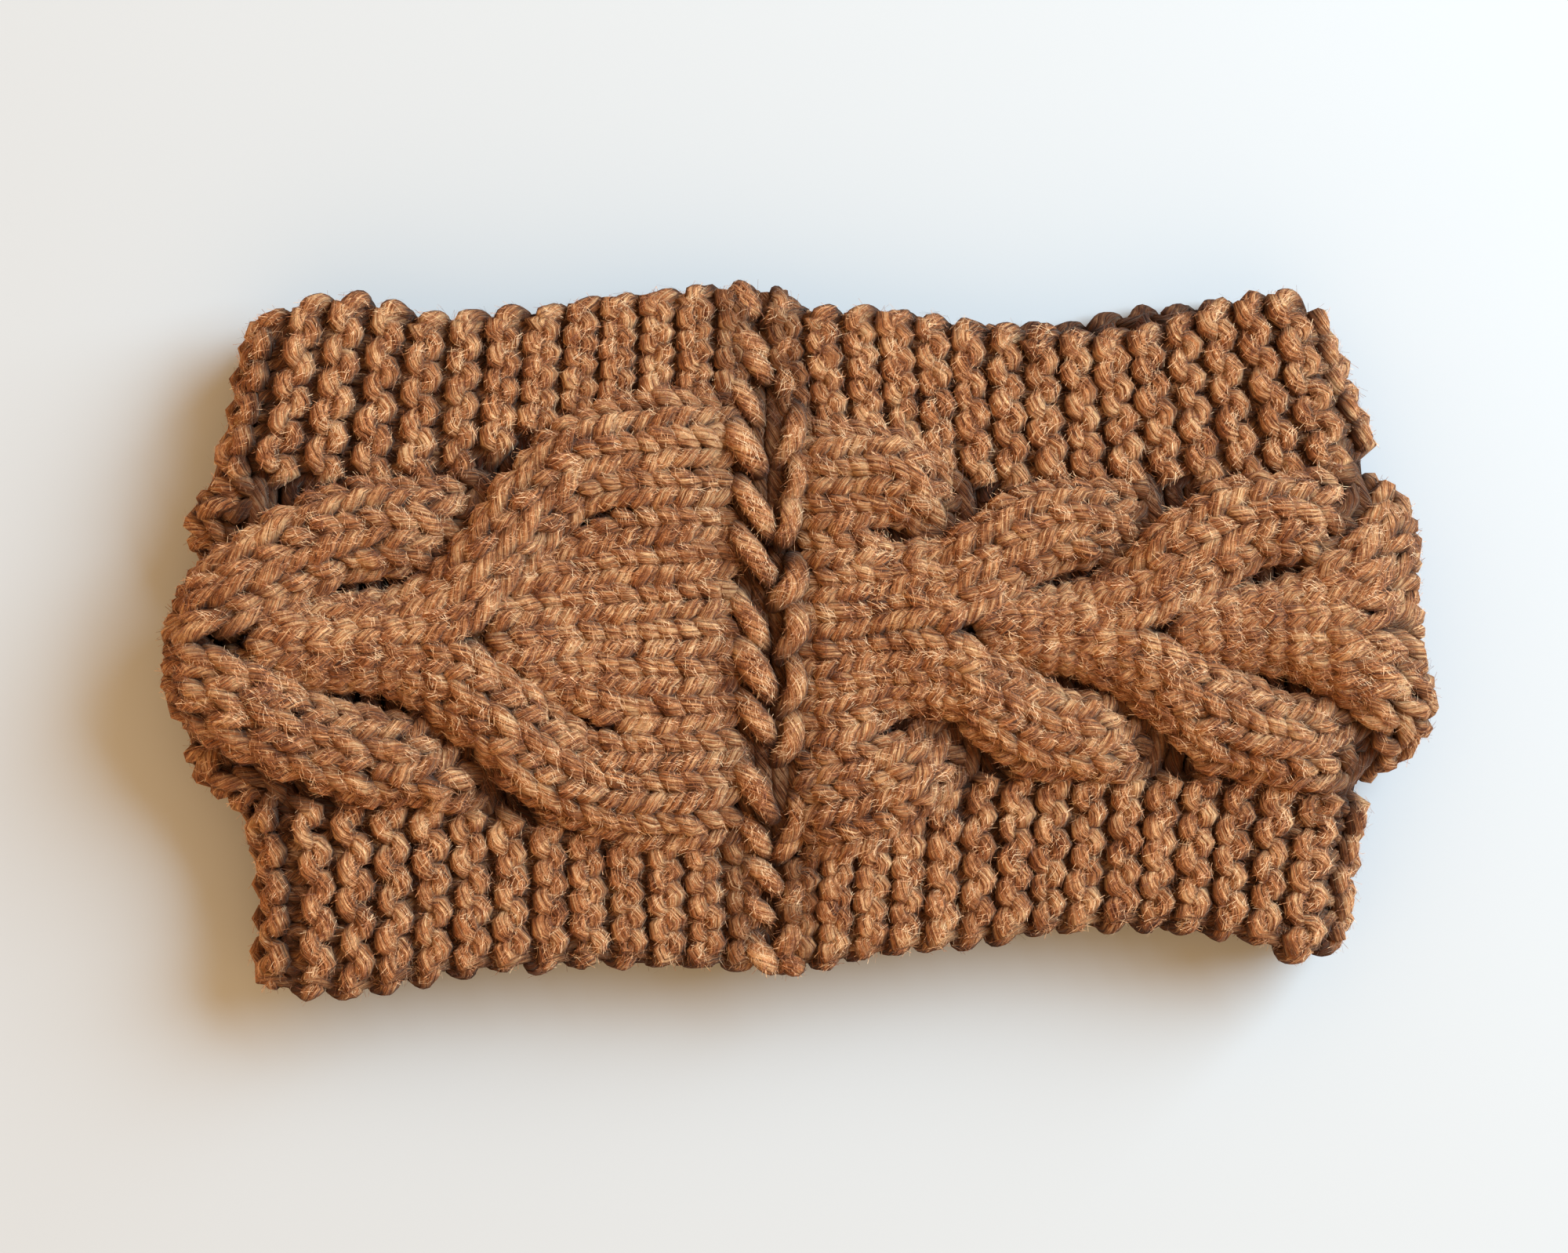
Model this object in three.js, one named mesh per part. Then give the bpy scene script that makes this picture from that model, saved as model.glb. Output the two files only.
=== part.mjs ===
// An ear warmer headband, knitted sideways as one strip of 22 stitches and seamed into a loop.
// A horseshoe cable of 12 stitches runs between two garter stitch borders of 5 stitches each.
// The loop lies flattened on a table with its seam on top, so it has an upper layer, a lower layer and two folds.
// Millimetres. +X runs from the left fold to the right fold, +Y across the band, +Z up from the table.
// Rows are counted round the loop, from the seam's left side by the left fold, the lower layer and the right fold
// to the seam's right side. Stitches are counted across the band, from the lower edge up.
import * as THREE from "three";

// Driving dimensions
const foldToFold = 240; // over the cable panel, outside
const bandWidth = 136.5; // from the lowest point of the lower edge to the highest point of the upper edge
const fabricWall = 7; // thickness of the garter stitch, crest to crest, and of the ground under the cable
const cableRise = 4.5; // how far a cable strand's crest stands above that ground
const crossingRise = 1.6; // how much higher a strand rides where it crosses over another
const ridgeDepth = 2.2; // from a garter ridge's crest to the valley beside it
const edgeRound = 1.2; // how far the band's long edges swell outward at half their thickness
const hollowHeight = 8; // between the two layers, in the middle of the band
const foldOpening = 2; // how much higher the hollow is at the folds
const borderLift = 2.5; // how far the thick panel holds the borders up beside it
const borderDroop = 1.2; // how far they sink again toward the band's edges
const seamRise = 2.6; // how far the seam's strands stand above the fabric beside them, on the cable panel
const seamWidthAtPanel = 11.5;
const seamWidthAtBorder = 8.6;
const seamStrandPitch = 10; // between the slanting strands of the seam, along it
const pressedFlat = 1.5; // how much of the lowest crests the table presses flat
const pieceGap = 0.3; // between two neighbouring pieces

// Stitches and rows
const borderStitches = 5;
const panelStitches = 12;
const rowCount = 112;
const firstCrossing = 13;
const crossingEvery = 10;
const armRows = 6; // rows in which a strand swings in to the middle before it crosses
const diveRows = 4; // rows in which the strand under it swings out
const plainRows = 7; // rows beside the seam in which the cable fades into plain stockinette
const crossings = Math.floor((rowCount - plainRows - firstCrossing) / crossingEvery) + 1;

// How the rows share out round the loop, as shares of all rows. The stretches follow one another.
const stretches = [
  { name: "upper left", rows: 0.2 },
  { name: "left fold", rows: 0.054 },
  { name: "lower", rows: 0.445 },
  { name: "right fold", rows: 0.054 },
  { name: "upper right", rows: 0.247 },
];

// How far each fold reaches, as shares of half the width from fold to fold. across is the share of the band's
// stitches, from the lower edge up. The cable panel bulges out past the borders.
const foldReach = [
  { across: 0.0, left: 0.86, right: 0.875 },
  { across: 0.2, left: 0.868, right: 0.9 },
  { across: 0.25, left: 0.905, right: 0.93 },
  { across: 0.32, left: 0.97, right: 0.982 },
  { across: 0.39, left: 1.0, right: 1.0 },
  { across: 0.5, left: 0.99, right: 0.984 },
  { across: 0.61, left: 0.98, right: 0.976 },
  { across: 0.72, left: 0.955, right: 0.958 },
  { across: 0.79, left: 0.92, right: 0.915 },
  { across: 0.9, left: 0.89, right: 0.872 },
  { across: 1.0, left: 0.866, right: 0.84 },
];

// The band's edges and the lines between panel and borders on the upper layer, as shares of half the band's width.
// along runs from the left fold (-1) to the right fold (1).
const upperLayer = [
  { along: -1.0, top: 0.925, panelTop: 0.47, panelLow: -0.47, low: -0.975 },
  { along: -0.86, top: 0.98, panelTop: 0.475, panelLow: -0.456, low: -1.0 },
  { along: -0.64, top: 0.925, panelTop: 0.475, panelLow: -0.462, low: -0.93 },
  { along: -0.44, top: 0.945, panelTop: 0.625, panelLow: -0.513, low: -0.905 },
  { along: -0.23, top: 0.985, panelTop: 0.688, panelLow: -0.556, low: -0.897 },
  { along: -0.08, top: 0.993, panelTop: 0.675, panelLow: -0.54, low: -0.903 },
  { along: 0.02, top: 0.94, panelTop: 0.61, panelLow: -0.585, low: -0.905 },
  { along: 0.19, top: 0.93, panelTop: 0.59, panelLow: -0.513, low: -0.857 },
  { along: 0.31, top: 0.91, panelTop: 0.475, panelLow: -0.398, low: -0.848 },
  { along: 0.54, top: 0.877, panelTop: 0.463, panelLow: -0.381, low: -0.8 },
  { along: 0.68, top: 0.9, panelTop: 0.468, panelLow: -0.381, low: -0.8 },
  { along: 0.83, top: 0.975, panelTop: 0.475, panelLow: -0.385, low: -0.83 },
  { along: 0.94, top: 0.985, panelTop: 0.5, panelLow: -0.42, low: -0.893 },
  { along: 1.0, top: 0.93, panelTop: 0.55, panelLow: -0.445, low: -0.86 },
];

// The same for the lower layer, which the upper one hides but for its edge at the upper right.
const lowerLayer = [
  { along: -1.0, top: 0.925, panelTop: 0.47, panelLow: -0.47, low: -0.975 },
  { along: -0.6, top: 0.9, panelTop: 0.46, panelLow: -0.45, low: -0.9 },
  { along: 0.0, top: 0.9, panelTop: 0.47, panelLow: -0.44, low: -0.86 },
  { along: 0.5, top: 0.92, panelTop: 0.48, panelLow: -0.41, low: -0.79 },
  { along: 0.8, top: 0.985, panelTop: 0.48, panelLow: -0.4, low: -0.83 },
  { along: 1.0, top: 0.93, panelTop: 0.55, panelLow: -0.445, low: -0.86 },
];

// The seam's middle line at the band's edges and at the panel's, as shares of half the width from fold to fold.
// It runs straight between them, so that the ends of the fabric beside it are flat.
const seamLine = [
  { stitch: 0, middle: -0.036, width: seamWidthAtBorder },
  { stitch: borderStitches, middle: -0.036, width: seamWidthAtPanel },
  { stitch: borderStitches + panelStitches, middle: -0.048, width: seamWidthAtPanel },
  { stitch: 2 * borderStitches + panelStitches, middle: -0.06, width: seamWidthAtBorder },
];

// Where the strands run across the panel, as shares of its width from either edge to its middle line.
// Beside the seam the stitches lie evenly, and between crossings the inner strands crowd into one tongue.
const strands = {
  outer: { plainPlace: 0.25, plainReach: 0.25, cabledPlace: 0.34, cabledReach: 0.34 },
  inner: { plainPlace: 0.75, plainReach: 0.25, cabledPlace: 0.84, cabledReach: 0.18 },
};
const swingCurve = 2.5; // how suddenly a strand swings in, as a power of the way to the crossing
const diveDepth = 0.75; // how far a strand sinks under the one that crosses it, as a share of its rise

// Where each section across the panel is cut, as shares from either edge to its middle line. The cuts lie closest
// in the valleys between the strands.
const panelCuts = [0, 0.07, 0.18, 0.32, 0.45, 0.56, 0.64, 0.7, 0.77, 0.86, 0.93];
const plainRise = 0.45; // the relief left beside the seam, as a share of the full relief
const borderToPanel = 1.5; // stitches over which the ground climbs from a border to the raised panel
const openingStarts = 0.3; // where the hollow starts to open toward the folds, as a share of the way there
const openingEnds = 0.9;
const upperBulge = 3; // how late the rows start to bow out toward the panel's bulge, as a power of the way to a fold
const lowerBulge = 5;

// How finely the solids are cut
const panelInsideSteps = 4;
const seamSteps = 44;

const bandStitches = panelStitches + 2 * borderStitches;
const halfReach = foldToFold / 2;
const halfWidth = bandWidth / 2;
const halfWall = fabricWall / 2;
const foldRadius = (hollowHeight + foldOpening + fabricWall) / 2; // of the ground's middle, at the folds
const { lerp, clamp, smoothstep } = THREE.MathUtils;

// The value of one column of a table at a place, on a smooth curve through the table's rows.
function lookUp(table, key, at, column) {
  const last = table.length - 1;
  const place = clamp(at, table[0][key], table[last][key]);
  let i = 0;
  while (i < last - 1 && table[i + 1][key] < place) i += 1;
  const slope = (a, b) => (table[b][column] - table[a][column]) / (table[b][key] - table[a][key]);
  const inner = slope(i, i + 1);
  const start = i > 0 ? lerp(slope(i - 1, i), inner, 0.5) : inner;
  const end = i < last - 1 ? lerp(inner, slope(i + 1, i + 2), 0.5) : inner;
  const step = table[i + 1][key] - table[i][key];
  const t = (place - table[i][key]) / step;
  const rest = 1 - t;
  const straight = lerp(table[i][column], table[i + 1][column], t);
  return straight + step * t * rest * (rest * (start - inner) - t * (end - inner));
}

// The stretch of the loop that a row lies on, and how far along it, from 0 to 1.
function stretchAt(row) {
  let left = clamp(row / rowCount, 0, 1);
  let index = 0;
  while (index < stretches.length - 1 && left > stretches[index].rows) {
    left -= stretches[index].rows;
    index += 1;
  }
  return { name: stretches[index].name, part: Math.min(left / stretches[index].rows, 1) };
}

// 0 on the borders and 1 on the panel, with a soft step at the line between them.
function onPanel(stitch) {
  const fromEdge = Math.min(stitch, bandStitches - stitch);
  return smoothstep(fromEdge, borderStitches - borderToPanel / 2, borderStitches + borderToPanel);
}

// How high the ground of the lower layer lies above the table, and of the upper layer above where it would otherwise.
function liftAt(stitch) {
  const fromEdge = Math.min(stitch, bandStitches - stitch);
  const outward = 1 - Math.min(fromEdge / borderStitches, 1);
  return lerp(borderLift, cableRise, onPanel(stitch)) - borderDroop * outward ** 2;
}

// The seam's middle line and half its width at a stitch.
function seamAt(stitch) {
  const index = seamLine.findIndex((knot, i) => i > 0 && stitch <= knot.stitch);
  const [before, after] = [seamLine[index - 1], seamLine[index]];
  const part = (stitch - before.stitch) / (after.stitch - before.stitch);
  return {
    middle: halfReach * lerp(before.middle, after.middle, part),
    reach: lerp(before.width, after.width, part) / 2,
  };
}

// How far from the middle a layer runs straight before the fold, at a stitch.
function straightReach(stitch, side) {
  const fullReach = halfReach * lookUp(foldReach, "across", stitch / bandStitches, side);
  return fullReach - cableRise * onPanel(stitch) - halfWall - foldRadius;
}

// The middle of the fabric's ground at a row and a stitch, with the direction out of the loop there.
function groundAt(row, stitch) {
  const { name, part } = stretchAt(row);
  const left = straightReach(0, "left");
  const right = straightReach(0, "right");
  const bulgeLeft = straightReach(stitch, "left") - left;
  const bulgeRight = straightReach(stitch, "right") - right;
  const seamPlace = seamAt(stitch);
  const seamSide = seamPlace.reach + pieceGap;
  let x;
  let turn; // from 0 on the upper layer to half a turn on the lower one
  let plainX; // x without the panel's bulge at the folds
  if (name === "upper left") {
    turn = 0;
    plainX = lerp(seamPlace.middle - seamSide, -left, part);
    x = plainX - bulgeLeft * part ** upperBulge;
  } else if (name === "left fold") {
    turn = part * Math.PI;
    plainX = -left - foldRadius * Math.sin(turn);
    x = plainX - bulgeLeft;
  } else if (name === "lower") {
    turn = Math.PI;
    plainX = lerp(-left, right, part);
    x = plainX - bulgeLeft * (1 - part) ** lowerBulge + bulgeRight * part ** lowerBulge;
  } else if (name === "right fold") {
    turn = (1 - part) * Math.PI;
    plainX = right + foldRadius * Math.sin(turn);
    x = plainX + bulgeRight;
  } else {
    turn = 0;
    plainX = lerp(right, seamPlace.middle + seamSide, part);
    x = plainX + bulgeRight * (1 - part) ** upperBulge;
  }
  const side = Math.sign(plainX);
  const along = clamp(plainX / ((side < 0 ? left : right) + foldRadius), -1, 1);
  const opened = smoothstep(Math.abs(along), openingStarts, openingEnds);
  const radius = foldRadius - (foldOpening / 2) * (1 - opened);
  const under = (1 - Math.cos(turn)) / 2;
  const line = (column) => {
    const upper = lookUp(upperLayer, "along", along, column);
    return halfWidth * lerp(upper, lookUp(lowerLayer, "along", along, column), under);
  };
  return {
    x,
    y: yAcross(stitch, line("low"), line("panelLow"), line("panelTop"), line("top")),
    z: liftAt(stitch) + halfWall + radius * (1 + Math.cos(turn)),
    outX: side * Math.sin(turn),
    outZ: Math.cos(turn),
  };
}

// y of a stitch between the four lines that run along the band.
function yAcross(stitch, low, panelLow, panelTop, top) {
  const panelEnd = borderStitches + panelStitches;
  if (stitch < borderStitches) return lerp(low, panelLow, stitch / borderStitches);
  if (stitch > panelEnd) return lerp(panelTop, top, (stitch - panelEnd) / borderStitches);
  return lerp(panelLow, panelTop, (stitch - borderStitches) / panelStitches);
}

// The relief of the cable above the ground at a row. half runs from 0 at either edge of the panel to 1 on its middle
// line. The outer strand swings in over the inner one before each crossing, and the inner one dives out under it.
function cableRelief(row, half) {
  const passed = Math.max(Math.ceil((row - firstCrossing) / crossingEvery), 0);
  const toCrossing = firstCrossing + crossingEvery * passed - row;
  const formed = smoothstep(Math.min(row, rowCount - row), 0, plainRows);
  const [outer, inner] = [strands.outer, strands.inner].map((strand) => ({
    place: lerp(strand.plainPlace, strand.cabledPlace, formed),
    reach: lerp(strand.plainReach, strand.cabledReach, formed),
  }));
  const crosses = passed < crossings;
  const swing = crosses ? Math.max(1 - toCrossing / armRows, 0) ** swingCurve : 0;
  const dive = crosses ? smoothstep(-toCrossing, -diveRows, 0) : 0;
  const riding = Math.sin(Math.PI * Math.min(1.6 * swing, 1));
  const heightOf = (from, to, way, crest) => {
    const off = (half - lerp(from.place, to.place, way)) / lerp(from.reach, to.reach, way);
    return crest * Math.sqrt(Math.max(1 - off * off, 0));
  };
  const over = heightOf(outer, inner, swing, cableRise + crossingRise * riding);
  const under = heightOf(inner, outer, dive, cableRise * (1 - diveDepth * Math.sin(Math.PI * Math.sqrt(dive))));
  return lerp(plainRise, 1, formed) * Math.max(over, under);
}

// How far the outside and the inside of the fabric stand from the middle of its ground.
function outsideOffset(row, stitch) {
  const panelPart = (stitch - borderStitches) / panelStitches;
  if (panelPart > 0 && panelPart < 1) {
    return halfWall + cableRelief(row, 1 - Math.abs(2 * panelPart - 1));
  }
  return halfWall - (ridgeDepth * (1 - Math.cos(Math.PI * row))) / 2;
}

function insideOffset(row) {
  return halfWall - (ridgeDepth * (1 + Math.cos(Math.PI * row))) / 2;
}

// A point of the fabric: offset is measured outward from the middle of its ground, and shift moves it across the band.
// The table presses flat what would reach below it.
function fabricPoint(row, stitch, offset, shift = 0) {
  const ground = groundAt(row, stitch);
  const z = ground.z + ground.outZ * offset;
  return new THREE.Vector3(
    ground.x + ground.outX * offset,
    ground.y + shift,
    Math.max(z - pressedFlat, 0),
  );
}

// A closed solid through sections with equally many points, closed by flat ends. flatten gives a point's place on
// the plane of the ends. Each face between two sections folds along its shorter diagonal, so that neighbours match.
function loft(name, sections, flatten) {
  const size = sections[0].length;
  const points = sections.flat();
  const index = [];
  for (let s = 0; s < sections.length - 1; s += 1) {
    for (let i = 0; i < size; i += 1) {
      const a = s * size + i;
      const b = s * size + ((i + 1) % size);
      const [c, d] = [a + size, b + size];
      const across = points[b].distanceTo(points[c]) < points[a].distanceTo(points[d]);
      index.push(...(across ? [a, b, c, b, d, c] : [a, b, d, a, d, c]));
    }
  }
  const addEnd = (section, forward) => {
    const outline = sections[section].map(flatten);
    const turnsForward = THREE.ShapeUtils.area(outline) > 0;
    for (const [a, b, c] of THREE.ShapeUtils.triangulateShape(outline, [])) {
      const triangleForward = THREE.ShapeUtils.area([outline[a], outline[b], outline[c]]) > 0;
      const keep = (triangleForward === turnsForward) === forward;
      const corners = keep ? [a, b, c] : [a, c, b];
      index.push(...corners.map((corner) => section * size + corner));
    }
  };
  addEnd(0, false);
  addEnd(sections.length - 1, true);
  const positions = points.flatMap((p) => [p.x, p.y, p.z]);
  const geometry = new THREE.BufferGeometry();
  geometry.setAttribute("position", new THREE.Float32BufferAttribute(positions, 3));
  geometry.setIndex(index);
  geometry.computeVertexNormals();
  const mesh = new THREE.Mesh(geometry, yarn);
  mesh.name = name;
  return mesh;
}

const yarn = new THREE.MeshStandardMaterial({ color: 0xb07a4a, roughness: 0.95, metalness: 0 });
const steps = (count) => Array.from({ length: count + 1 }, (_, i) => i / count);
const rows = steps(rowCount).map((share) => share * rowCount);

// One border: garter stitch, a ridge every second row on the outside and one between each two on the inside.
function border(name, edgeStitch, panelStitch) {
  const outward = Math.sign(edgeStitch - panelStitch);
  const stitches = steps(borderStitches).map((share) => lerp(edgeStitch, panelStitch, share));
  const gapShift = (outward * pieceGap) / 2;
  const sections = rows.map((row) => {
    const inside = -insideOffset(row);
    const outline = stitches.map((stitch) =>
      fabricPoint(row, stitch, outsideOffset(row, edgeStitch), stitch === panelStitch ? gapShift : 0),
    );
    outline.push(
      fabricPoint(row, panelStitch, inside, gapShift),
      fabricPoint(row, (edgeStitch + panelStitch) / 2, inside),
      fabricPoint(row, edgeStitch, inside),
      fabricPoint(row, edgeStitch, 0, outward * edgeRound),
    );
    return outward < 0 ? outline : outline.reverse();
  });
  return loft(name, sections, (p) => new THREE.Vector2(p.y, p.z));
}

// The cable panel: its outside follows the strands, its inside is nearly plain.
function panel(name) {
  const low = borderStitches;
  const high = borderStitches + panelStitches;
  const shiftAt = (stitch) => {
    if (stitch === low) return pieceGap / 2;
    return stitch === high ? -pieceGap / 2 : 0;
  };
  const cuts = [...panelCuts, 1, ...panelCuts.map((cut) => 2 - cut).reverse()];
  const outside = cuts.map((cut) => lerp(low, high, cut / 2));
  const inside = steps(panelInsideSteps).map((share) => lerp(high, low, share));
  const sections = rows.map((row) => [
    ...outside.map((q) => fabricPoint(row, q, outsideOffset(row, q), shiftAt(q))),
    ...inside.map((q) => fabricPoint(row, q, -insideOffset(row), shiftAt(q))),
  ]);
  return loft(name, sections, (p) => new THREE.Vector2(p.y, p.z));
}

// The seam: a wall between the strip's two ends, with two columns of slanting strands raised on its outside.
function seam(name) {
  const pitchInStitches = (seamStrandPitch / bandWidth) * bandStitches;
  const sections = steps(seamSteps).map((share) => {
    const stitch = share * bandStitches;
    const left = groundAt(0, stitch);
    const right = groundAt(rowCount, stitch);
    const raised = onPanel(stitch);
    const outside = left.z + halfWall - pressedFlat + lerp(-ridgeDepth, plainRise * cableRise, raised);
    const inside = left.z - halfWall + ridgeDepth / 2 - pressedFlat;
    const crest = (shift) => {
      const slant = 0.75 + 0.25 * Math.cos(2 * Math.PI * (stitch / pitchInStitches + shift));
      return outside + lerp(ridgeDepth, seamRise, raised) * slant;
    };
    const { middle, reach } = seamAt(stitch);
    const point = (aside, z) =>
      new THREE.Vector3(middle + aside * reach, lerp(left.y, right.y, (1 + aside) / 2), z);
    return [
      point(-1, outside - ridgeDepth / 2),
      point(-0.5, crest(0)),
      point(0, outside),
      point(0.5, crest(0.5)),
      point(1, outside - ridgeDepth / 2),
      point(1, inside),
      point(-1, inside),
    ];
  });
  return loft(name, sections, (p) => new THREE.Vector2(p.x, p.z));
}

const headband = new THREE.Group();
headband.add(
  border("garter_border_lower", 0, borderStitches),
  panel("cable_panel"),
  border("garter_border_upper", bandStitches, bandStitches - borderStitches),
  seam("back_seam"),
);

export default headband;
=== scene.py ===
import math

import bpy
import numpy as np
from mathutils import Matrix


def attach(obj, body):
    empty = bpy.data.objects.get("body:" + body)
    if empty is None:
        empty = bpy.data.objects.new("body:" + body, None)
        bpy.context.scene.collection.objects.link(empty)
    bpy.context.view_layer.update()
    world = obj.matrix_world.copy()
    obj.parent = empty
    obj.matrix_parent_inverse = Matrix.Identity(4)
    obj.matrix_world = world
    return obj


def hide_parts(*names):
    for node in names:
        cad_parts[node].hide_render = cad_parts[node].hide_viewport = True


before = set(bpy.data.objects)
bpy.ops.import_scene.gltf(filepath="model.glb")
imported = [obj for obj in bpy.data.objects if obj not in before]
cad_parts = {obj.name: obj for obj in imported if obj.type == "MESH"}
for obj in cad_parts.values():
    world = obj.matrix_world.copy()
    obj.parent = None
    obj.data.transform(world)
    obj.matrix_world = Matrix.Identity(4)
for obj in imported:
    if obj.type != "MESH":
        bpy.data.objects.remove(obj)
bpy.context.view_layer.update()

# The ear warmer is knitted stitch by stitch over the same flattened loop that the solids follow.
# Lengths are millimetres until a piece is made. Rows are counted round the loop, stitches across it.
MM = 0.001
FOLD_TO_FOLD = 240.0
BAND_WIDTH = 136.5
FABRIC_WALL = 7.0
CABLE_RISE = 4.5
CROSSING_RISE = 1.6
HOLLOW_HEIGHT = 8.0
FOLD_OPENING = 2.0
BORDER_LIFT = 2.5
BORDER_DROOP = 1.2
SEAM_WIDTH_AT_PANEL = 11.5
SEAM_WIDTH_AT_BORDER = 8.6
PRESSED_FLAT = 1.5
PIECE_GAP = 0.3

BORDER_STITCHES = 5
PANEL_STITCHES = 12
BAND_STITCHES = PANEL_STITCHES + 2 * BORDER_STITCHES
ROWS = 112
FIRST_CROSSING = 13
CROSSING_EVERY = 10
PLAIN_ROWS = 7
CROSSINGS = (ROWS - PLAIN_ROWS - FIRST_CROSSING) // CROSSING_EVERY + 1

# Shares of all rows: upper left, left fold, lower, right fold, upper right
STRETCHES = np.array([0.2, 0.054, 0.445, 0.054, 0.247])

# Share across the band, then how far the left and the right fold reach
FOLD_REACH = np.array(
    [
        (0.0, 0.86, 0.875),
        (0.2, 0.868, 0.9),
        (0.25, 0.905, 0.93),
        (0.32, 0.97, 0.982),
        (0.39, 1.0, 1.0),
        (0.5, 0.99, 0.984),
        (0.61, 0.98, 0.976),
        (0.72, 0.955, 0.958),
        (0.79, 0.92, 0.915),
        (0.9, 0.89, 0.872),
        (1.0, 0.866, 0.84),
    ]
)
LEFT_REACH = 1
RIGHT_REACH = 2

# Place along the band, then its top edge, the panel's two lines and its low edge
UPPER_LAYER = np.array(
    [
        (-1.0, 0.925, 0.47, -0.47, -0.975),
        (-0.86, 0.98, 0.475, -0.456, -1.0),
        (-0.64, 0.925, 0.475, -0.462, -0.93),
        (-0.44, 0.945, 0.625, -0.513, -0.905),
        (-0.23, 0.985, 0.688, -0.556, -0.897),
        (-0.08, 0.993, 0.675, -0.54, -0.903),
        (0.02, 0.94, 0.61, -0.585, -0.905),
        (0.19, 0.93, 0.59, -0.513, -0.857),
        (0.31, 0.91, 0.475, -0.398, -0.848),
        (0.54, 0.877, 0.463, -0.381, -0.8),
        (0.68, 0.9, 0.468, -0.381, -0.8),
        (0.83, 0.975, 0.475, -0.385, -0.83),
        (0.94, 0.985, 0.5, -0.42, -0.893),
        (1.0, 0.93, 0.55, -0.445, -0.86),
    ]
)
LOWER_LAYER = np.array(
    [
        (-1.0, 0.925, 0.47, -0.47, -0.975),
        (-0.6, 0.9, 0.46, -0.45, -0.9),
        (0.0, 0.9, 0.47, -0.44, -0.86),
        (0.5, 0.92, 0.48, -0.41, -0.79),
        (0.8, 0.985, 0.48, -0.4, -0.83),
        (1.0, 0.93, 0.55, -0.445, -0.86),
    ]
)
TOP_EDGE = 1
PANEL_TOP = 2
PANEL_LOW = 3
LOW_EDGE = 4

# Stitch across the band, then the seam's middle line and its width
SEAM_LINE = np.array(
    [
        (0, -0.036, SEAM_WIDTH_AT_BORDER),
        (5, -0.036, SEAM_WIDTH_AT_PANEL),
        (17, -0.048, SEAM_WIDTH_AT_PANEL),
        (22, -0.06, SEAM_WIDTH_AT_BORDER),
    ]
)

HALF_REACH = FOLD_TO_FOLD / 2
HALF_WIDTH = BAND_WIDTH / 2
HALF_WALL = FABRIC_WALL / 2
FOLD_RADIUS = (HOLLOW_HEIGHT + FOLD_OPENING + FABRIC_WALL) / 2


def lerp(a, b, t):
    return a + (b - a) * t


def soft_step(x, low, high):
    t = np.clip((x - low) / (high - low), 0, 1)
    return t * t * (3 - 2 * t)


def look_up(table, place, column):
    """One column of a table at some places, on a smooth curve through its rows."""
    knots = table[:, 0]
    values = table[:, column]
    place = np.clip(place, knots[0], knots[-1])
    last = len(knots) - 2
    i = np.clip(np.searchsorted(knots, place) - 1, 0, last)
    slopes = np.diff(values) / np.diff(knots)
    inner = slopes[i]
    start = np.where(i > 0, (slopes[np.maximum(i - 1, 0)] + inner) / 2, inner)
    end = np.where(i < last, (slopes[np.minimum(i + 1, last)] + inner) / 2, inner)
    step = knots[i + 1] - knots[i]
    t = (place - knots[i]) / step
    rest = 1 - t
    bend = step * t * rest * (rest * (start - inner) - t * (end - inner))
    return lerp(values[i], values[i + 1], t) + bend


def on_panel(stitch):
    from_edge = np.minimum(stitch, BAND_STITCHES - stitch)
    return soft_step(from_edge, BORDER_STITCHES - 0.75, BORDER_STITCHES + 1.5)


def lift_at(stitch):
    from_edge = np.minimum(stitch, BAND_STITCHES - stitch)
    outward = 1 - np.minimum(from_edge / BORDER_STITCHES, 1)
    return lerp(BORDER_LIFT, CABLE_RISE, on_panel(stitch)) - BORDER_DROOP * outward**2


def straight_reach(stitch, side):
    full = HALF_REACH * look_up(FOLD_REACH, stitch / BAND_STITCHES, side)
    return full - CABLE_RISE * on_panel(stitch) - HALF_WALL - FOLD_RADIUS


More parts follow.
